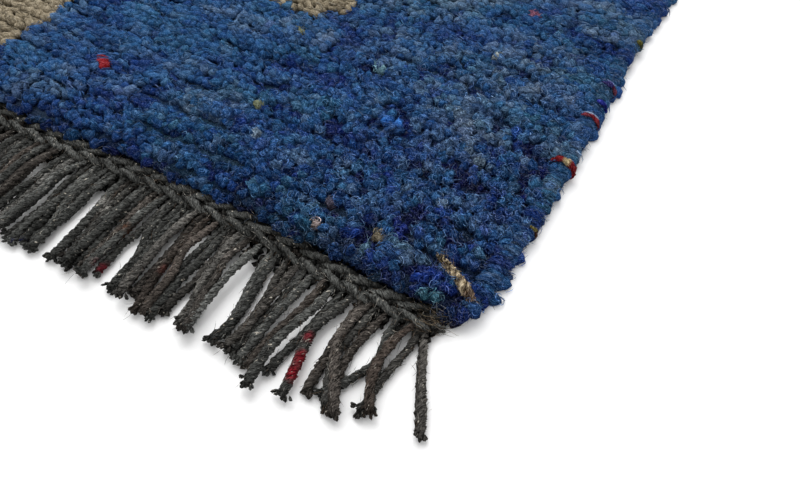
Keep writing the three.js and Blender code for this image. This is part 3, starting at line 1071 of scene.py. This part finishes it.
def strand_paths(ends, root_y, rings, seed, high):
    """Each warp end leaves the cord, bends towards its clump and lies on the floor, or on its
    neighbours where it is high."""
    root, tip, reach = (ends[:, k][:, None] for k in range(3))
    i = np.arange(len(ends))[:, None]
    t = np.linspace(0, 1, rings)[None]
    late = t**1.3
    bend = late * late * (3 - 2 * late)
    tip = tip + 3 * MM * uneven(i, seed, 4)
    sway = 2.4 * MM * uneven(i, seed, 5) * np.sin(math.pi * t * 1.6 + 3 * uneven(i, seed, 6))
    kink = 0.6 * MM * np.sin(t * 15 + 9 * uneven(i, seed, 7)) * uneven(i, seed, 8)
    x = root + (tip - root) * bend + (sway + kink) * limited(3 * t)
    y = root_y - 0.8 * MM - end_wander(root) * (1 - 0.5 * t) - reach * t
    raised = high * limited(0.6 + 0.6 * uneven(i, seed, 9))
    z = 2.6 * MM + 0.8 * MM * (1 - t) + raised * np.sin(math.pi * np.clip(1.25 * t, 0, 0.62))
    return np.stack([x, y, z], axis=2)


def corner_paths(rings):
    """The paths of the warp ends at the near corner."""
    paths = []
    for high, route in CORNER_STRANDS:
        route = np.array(route, float)
        route[0, 1] -= end_wander(route[0, 0] * MM) / MM
        t = np.linspace(0, 1, len(route))
        height = np.interp(t, [0, 0.3, 0.8, 1], [3.4, high, high, 0.6 * high + 1])
        paths.append(smooth_route(np.column_stack([route, height]) * MM, rings))
    return np.stack(paths)


def strands(paths, sides, lay, frays, hairs, tone, seed, flecks, sizes, dyes):
    """Plied warp ends along paths, each with so many frayed stubs at its tip and so many loose
    hairs. lay is the length of one turn of the plies."""
    rng = np.random.default_rng(seed)
    count, rings = paths.shape[:2]
    t = np.linspace(0, 1, rings)
    profile = (0.9 + 0.12 * t) * np.clip((1 - t) / 0.03, 0.72, 1) * limited(0.6 + 2.2 * t)
    thick = sizes.strand_width * 0.45 * profile * rng.uniform(0.88, 1.1, (count, 1))
    thick = thick * (1 + 0.12 * patches(9 * t, np.arange(count)[:, None], 1, 1, seed))
    shape = yarn_shape(sides, rings)
    points, straight, faces = lay_yarn(shape, paths, thick, 2 * math.pi / lay, 3, 0.13)
    points = felted(points, 2.4 * MM, 0.3 * MM, seed)
    hold(points)
    own = np.asarray(dyes.charcoal) * tone * rng.uniform(0.62, 1.3, (count, 1))
    own = blend(own, np.asarray(linear("#4c3a30")) * tone, rng.uniform(-0.5, 0.45, count))
    along = straight[..., 2] / straight[..., 2].max(axis=1, keepdims=True)
    low = paths[..., 2].mean(axis=1, keepdims=True) < 4 * MM
    # Painted shade: darker at the root, where the end comes out from under the cord, on ends that lie
    # low under others, and in the grooves between the plies. The ends are also darker towards and at the
    # cut tip.
    shade = np.clip(0.25 + along / 0.2, 0.25, 1) * np.clip((1.02 - along) / 0.06, 0.5, 1)
    shade = shade * np.where(low, 0.8, 1.0) * (1.05 - 0.3 * along)
    shade = shade * (0.8 + 0.2 * np.cos(3 * shape[0]))
    shade = shade * (1 + 0.3 * patches(points[..., 0], points[..., 1], 4 * MM, 9 * MM, seed))
    colours = odd_yarns(points[..., 0], points[..., 1], own[:, None] * shade[..., None], flecks)
    body = (points, faces, colours, straight)

    strand = np.repeat(np.arange(count), frays)
    end, before = paths[strand, -1], paths[strand, -3]
    way = unit(end - before)
    spread = rng.normal(size=(count * frays, 3)) * (0.5, 0.3, 0.35)
    length = rng.uniform(2.2, 4.6, (count * frays, 1)) * MM
    start = end - way * 2.2 * MM + spread * (2 * MM, 1 * MM, 2 * MM)
    ahead = unit(way + spread) * length
    stub = start[:, None] + ahead[:, None] * np.array([0, 0.4, 0.8, 1])[:, None]
    hold(stub, 1 * MM)
    half = rng.uniform(0.75, 1.25, (count * frays, 1)) * MM * np.ones(4)
    ends = loose_hairs(stub, half, own[strand] * rng.uniform(0.25, 0.6, (count * frays, 1)))
    parts = [body, ends]
    if hairs:
        out = sizes.strand_width * 0.42
        parts.append(fuzz(paths, out, hairs * count, 4.5 * MM, WARP_FUZZ, sizes, seed + 1))
    return parts


def fringe_rows(near, first_clump, outer_y, sizes):
    """The rows of warp ends of one end of the rug: ones that run under the cords from below the pile,
    coloured dark as painted shade, then those of the fringe. Each row has its paths, how many sides its
    yarns have, how long a turn of their plies is, how many frayed stubs and hairs each has, its tone and
    its seed. The rows that lie lower are given lower tones, as painted shade."""
    pitch = 3.8 * MM if near else 5.2 * MM
    root = np.arange(INNER_LOW.x + 4 * MM, INNER_HIGH.x - 5 * MM, pitch)
    reach = 24.5 * MM + 2.5 * MM * uneven(np.arange(len(root)), 85)
    under = strand_paths(np.column_stack([root, root, reach]), PILE_LOW.y + 3 * MM, 6, 85, 0)
    # Painted shade: the ends under the cords have a tone of 0.3.
    rows = [(under, 5, 13 * MM, 1, 0, 0.3, 85)]
    ends = warp_ends(first_clump, sizes)
    if near:
        ends = ends[CORNER_ROOTS:]
        rows.append((corner_paths(46), 12, 13 * MM, 12, 44, 1.28, 80))
    below = lower_ends(ends, sizes, 91)
    if near:
        seen, seen_below = ends[:, 0] > 0, below[:, 0] > 0
        rows.append((strand_paths(ends[seen], outer_y, 38, 81, 5 * MM), 11, 13 * MM, 10, 26, 1.42, 81))
        rows.append((strand_paths(below[seen_below], outer_y, 24, 82, 0), 9, 13 * MM, 8, 0, 1.25, 82))
        ends, below = ends[~seen], below[~seen_below]
    rows.append((strand_paths(ends, outer_y, 19, 83, 5 * MM), 6, 22 * MM, 3, 0, 1, 83))
    rows.append((strand_paths(below, outer_y, 12, 84, 0), 5, 40 * MM, 2, 0, 0.6, 84))
    return rows


def turned_round(part):
    """The same part at the other end of the rug."""
    points, *others = part
    return points * (-1, -1, 1), *others


# The add-on's settings


def length_property(name, description, millimetres):
    """A length that a user can change."""
    return FloatProperty(name=name, description=description, default=millimetres * MM, unit="LENGTH")


class RugSizes(bpy.types.PropertyGroup):
    """Sizes of the rug's yarns and knots"""

    knot_pitch: length_property("Knot Pitch", "From knot to knot along a row", 4.6)
    row_pitch: length_property("Row Pitch", "From row to row of knots", 5.25)
    rows_per_ridge: IntProperty(
        name="Rows per Ridge", description="Rows of knots between two grooves", default=4, min=1
    )
    groove_depth: length_property("Groove Depth", "Depth of the grooves", 3.4)
    tuft_size: length_property("Tuft Size", "Width of one tuft of pile", 5.6)
    felting: length_property("Felting", "How far felting pushes tufts about", 0.95)
    lock_width: length_property("Lock Width", "Width of a curled lock of wool", 0.32)
    hair_width: length_property("Hair Width", "Width of a stray hair", 0.16)
    wrap_pitch: length_property("Wrap Pitch", "From wrap to wrap of a selvedge", 3.2)
    wrap_width: length_property("Wrap Width", "Thickness of the selvedge yarn", 3.9)
    bundle_pitch: length_property("Bundle Pitch", "From bundle to bundle of wraps", 17)
    cord_width: length_property("Cord Width", "Thickness of a twined cord", 6.6)
    cord_lay: length_property("Cord Lay", "Length of one turn of a cord", 29)
    strand_pitch: length_property("Strand Pitch", "From warp end to warp end", 7.0)
    strand_width: length_property("Strand Width", "Thickness of a warp end", 5.0)


def colour_property(name, description, colour):
    """A colour that a user can change."""
    return FloatVectorProperty(
        name=name, description=description, default=linear(colour), subtype="COLOR", min=0, max=1
    )


class RugColours(bpy.types.PropertyGroup):
    """Colours of the rug's wools"""

    deep_blue: colour_property("Deep Blue", "Darkest wool of the field", "#0a3680")
    mid_blue: colour_property("Mid Blue", "Main wool of the field", "#356ca0")
    light_blue: colour_property("Light Blue", "Palest wool of the field", "#8a9db0")
    violet: colour_property("Violet", "Violet cast in the field", "#495a96")
    teal: colour_property("Teal", "Green cast in the field", "#3f768a")
    ultramarine: colour_property("Ultramarine", "Vivid tufts in the field", "#1d45a4")
    deep_taupe: colour_property("Deep Taupe", "Darkest wool of the figure", "#948972")
    mid_taupe: colour_property("Mid Taupe", "Main wool of the figure", "#a49984")
    light_taupe: colour_property("Light Taupe", "Palest wool of the figure", "#ada28c")
    charcoal: colour_property("Charcoal", "Undyed wool of the warp", "#4f504e")


# The operators, one for each group of pieces


class RUG_OT_ground(bpy.types.Operator):
    """Makes the lumpy ground that the knots stand in, coloured dark as painted shade"""

    bl_idname = "rug.ground"
    bl_label = "Ground"

    def execute(self, context):
        dyes = context.scene.rug_colours
        width = PILE_HIGH.x - PILE_LOW.x - 2 * MM
        length = PILE_HIGH.y - PILE_LOW.y - 3 * MM

        def slab(bm):
            bmesh.ops.create_grid(bm, x_segments=32, y_segments=46, size=0.5)
            bmesh.ops.scale(bm, vec=(width, length, 1), verts=bm.verts)
            top = bmesh.ops.extrude_face_region(bm, geom=bm.faces)["geom"]
            raised = [v for v in top if isinstance(v, bmesh.types.BMVert)]
            bmesh.ops.translate(bm, vec=(0, 0, 6.4 * MM), verts=raised)

        points, faces = small_shape(slab)
        # The faces come in a new order at each run, so each is turned to start at its first point
        # and all are sorted.
        turned = (faces.argmin(axis=1)[:, None] + np.arange(3)) % 3
        faces = np.take_along_axis(faces, turned, axis=1)
        faces = faces[np.lexsort(faces.T)]
        top = points[:, 2] > 3 * MM
        points[top] = felted(points[top], 9 * MM, 0.8 * MM, 5)
        points[:, 1] = bowed(points[:, 0], points[:, 1])
        # Painted shade: the ground between the tufts is coloured at 0.35 of the wool's colour.
        colours = pile_colours(points[:, 0], points[:, 1], 3, dyes) * 0.35
        part = (points, faces, colours, points)
        ground = make_piece("pile_ground", [part], get_material(hand_spun_pile_wool))
        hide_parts("pile")
        return {"FINISHED"}


class RUG_OT_knots(bpy.types.Operator):
    """Makes the knotted pile, with curled locks and hairs over its front corner"""

    bl_idname = "rug.knots"
    bl_label = "Knots"

    def execute(self, context):
        sizes, dyes = context.scene.rug_sizes, context.scene.rug_colours
        forms = knot_forms(sizes, dyes)
        order = distance_from_front(forms["middle"]).argsort(kind="stable")
        wool = get_material(hand_spun_pile_wool)
        # Each group's name, the shape of its tufts, its knots and how far they are lumpy
        groups = [
            ("near", round_tuft, order[:NEAR_KNOTS], 0.35 * MM),
            ("middle", tuft, order[NEAR_KNOTS:FARTHER_KNOTS], 0.25 * MM),
            ("back", plain_tuft, order[FARTHER_KNOTS:], 0),
        ]
        for name, shape, chosen, lumps in groups:
            part = tufts(small_shape(shape), picked(forms, chosen), sizes, lumps)
            make_piece(f"pile_knots_{name}", [part], wool)
        near = picked(forms, order[:NEAR_KNOTS])
        seen = picked(forms, order[NEAR_KNOTS:SEEN_KNOTS])
        farther = picked(forms, order[SEEN_KNOTS:FARTHER_KNOTS])
        fine, coarse = sizes.lock_width, 2.2 * sizes.lock_width
        parts = [locks(near, 2, 5, coarse, 31, sizes), locks(near, 6, 4, fine, 32, sizes)]
        make_piece("pile_locks_near", parts, wool)
        parts = [locks(seen, 2, 5, coarse, 33, sizes), locks(seen, 2, 4, fine, 34, sizes)]
        parts += [locks(farther, 2, 5, coarse, 35, sizes)]
        make_piece("pile_locks_middle", parts, wool)
        x, y = forms["middle"][:, 0], forms["middle"][:, 1]
        corner = np.hypot(x - PILE_HIGH.x, y - PILE_LOW.y).argsort(kind="stable")
        parts = [curls(picked(forms, corner[:CURLED_KNOTS]), 5, 38, sizes)]
        half_curled = picked(forms, corner[CURLED_KNOTS:HALF_CURLED_KNOTS])
        parts.append(curls(half_curled, 1, 39, sizes))
        parts.append(stray_hairs(picked(forms, corner[:600]), 400, sizes, 36))
        parts.append(stray_hairs(picked(forms, order[:3400]), 800, sizes, 37))
        parts += [corner_hairs(sizes), *odd_end(sizes)]
        make_piece("pile_hairs", parts, wool)
        return {"FINISHED"}


class RUG_OT_selvedges(bpy.types.Operator):
    """Makes the wrapped selvedges down both sides"""

    bl_idname = "rug.selvedges"
    bl_label = "Selvedges"

    def execute(self, context):
        sizes, dyes = context.scene.rug_sizes, context.scene.rug_colours
        wool = get_material(hand_spun_pile_wool)
        right, paths, own = selvedge(6, sizes, dyes, 1)
        near = paths[:, 6, 1] < EDGE_LOW.y + 360 * MM
        loose = wrap_locks(paths[near, ::2], own[near], 8, sizes, 51)
        hairs = fuzz(paths[near], 2.4 * MM, 1100, 4 * MM, EDGE_FUZZ, sizes, 52)
        parts = [right, loose, hairs, *odd_wraps()]
        piece = make_piece("selvedge_right_wraps", parts, wool)
        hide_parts("selvedge_right")
        left, _, _ = selvedge(4, sizes, dyes, 2)
        piece = make_piece("selvedge_left_wraps", [turned_round(left)], wool)
        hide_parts("selvedge_left")
        return {"FINISHED"}


class RUG_OT_ends(bpy.types.Operator):
    """Makes the twined cords and the fringe at both ends"""

    bl_idname = "rug.ends"
    bl_label = "Ends"

    def execute(self, context):
        sizes, dyes = context.scene.rug_sizes, context.scene.rug_colours
        wool = get_material(plied_charcoal_wool)
        inner_y = (INNER_LOW.y + INNER_HIGH.y) / 2
        outer_y = FRINGE_HIGH.y - (INNER_HIGH.y - INNER_LOW.y) / 2
        # Each end's name, its first clump, and how many sides and rings the plies of its cords have
        for side, first_clump, sides, rings in (("near", 0, 9, 420), ("far", 4, 6, 180)):
            inner = twined_cord(inner_y, -1, sides, rings, sizes, dyes, 61 + first_clump)
            parts = twined_cord(outer_y, 1, sides, rings, sizes, dyes, 71 + first_clump)
            flecks = ODD_FLECKS if side == "near" else []
            for row in fringe_rows(side == "near", first_clump, outer_y, sizes):
                parts += strands(*row, flecks, sizes, dyes)
            if side == "far":
                inner = [turned_round(part) for part in inner]
                parts = [turned_round(part) for part in parts]
            cord = make_piece(f"twining_{side}_cord", inner, wool)
            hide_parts(f"twining_{side}")
            fringe = make_piece(f"fringe_{side}_strands", parts, wool)
            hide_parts(f"fringe_{side}")
        return {"FINISHED"}


class RUG_OT_stage(bpy.types.Operator):
    """Makes the floor, the soft studio light and the camera"""

    bl_idname = "rug.stage"
    bl_label = "Stage"

    def execute(self, context):
        scene = context.scene
        bm = bmesh.new()
        bmesh.ops.create_grid(bm, x_segments=1, y_segments=1, size=8)
        bmesh.ops.translate(bm, vec=(0, 0, -0.1 * MM), verts=bm.verts)
        mesh = bpy.data.meshes.new("floor")
        bm.to_mesh(mesh)
        bm.free()
        mesh.materials.append(pale_floor())
        floor = bpy.data.objects.new("floor", mesh)
        scene.collection.objects.link(floor)

        lamp = bpy.data.lights.new("softbox", "AREA")
        lamp.shape = "RECTANGLE"
        lamp.size, lamp.size_y = 1.7, 1.5
        lamp.energy = 29
        softbox = bpy.data.objects.new("softbox", lamp)
        softbox.location = (-0.5, 0.45, 1.5)
        softbox.rotation_euler = Euler((math.radians(-24), math.radians(-24), 0))
        scene.collection.objects.link(softbox)

        world = bpy.data.worlds.new("studio")
        world.use_nodes = True
        sky = world.node_tree.nodes["Background"]
        sky.inputs["Color"].default_value = (1.0, 1.0, 1.0, 1.0)
        sky.inputs["Strength"].default_value = 0.8
        scene.world = world
        scene.view_settings.view_transform = "Standard"

        lens = bpy.data.cameras.new("camera")
        lens.lens = CAMERA_LENS
        lens.sensor_width = 36
        lens.clip_start = 0.01
        camera = bpy.data.objects.new("camera", lens)
        camera.location = CAMERA_PLACE
        camera.rotation_euler = Euler(
            (math.radians(90 - CAMERA_ELEVATION), 0, math.radians(CAMERA_AZIMUTH))
        )
        scene.collection.objects.link(camera)
        scene.camera = camera
        return {"FINISHED"}


class RUG_PT_panel(bpy.types.Panel):
    """Lists the rug's settings and its pieces in order"""

    bl_label = "Hand-Knotted Rug"
    bl_space_type = "VIEW_3D"
    bl_region_type = "UI"
    bl_category = "Rug"

    def draw(self, context):
        column = self.layout.column()
        for settings in (context.scene.rug_sizes, context.scene.rug_colours):
            for name in settings.__annotations__:
                column.prop(settings, name)
        for operator in OPERATORS:
            column.operator(operator.bl_idname)


OPERATORS = (RUG_OT_ground, RUG_OT_knots, RUG_OT_selvedges, RUG_OT_ends, RUG_OT_stage)
CLASSES = (RugSizes, RugColours, *OPERATORS, RUG_PT_panel)


def register():
    for each in CLASSES:
        bpy.utils.register_class(each)
    bpy.types.Scene.rug_sizes = PointerProperty(type=RugSizes)
    bpy.types.Scene.rug_colours = PointerProperty(type=RugColours)


def unregister():
    del bpy.types.Scene.rug_colours
    del bpy.types.Scene.rug_sizes
    for each in reversed(CLASSES):
        bpy.utils.unregister_class(each)


def main():
    register()
    bpy.ops.rug.ground()
    bpy.ops.rug.knots()
    bpy.ops.rug.selvedges()
    bpy.ops.rug.ends()
    bpy.ops.rug.stage()
    ground = bpy.data.objects["pile_ground"]
    pieces = [o for o in bpy.data.objects if "dye" in getattr(o.data, "attributes", {}) and o != ground]


if __name__ == "__main__":
    main()
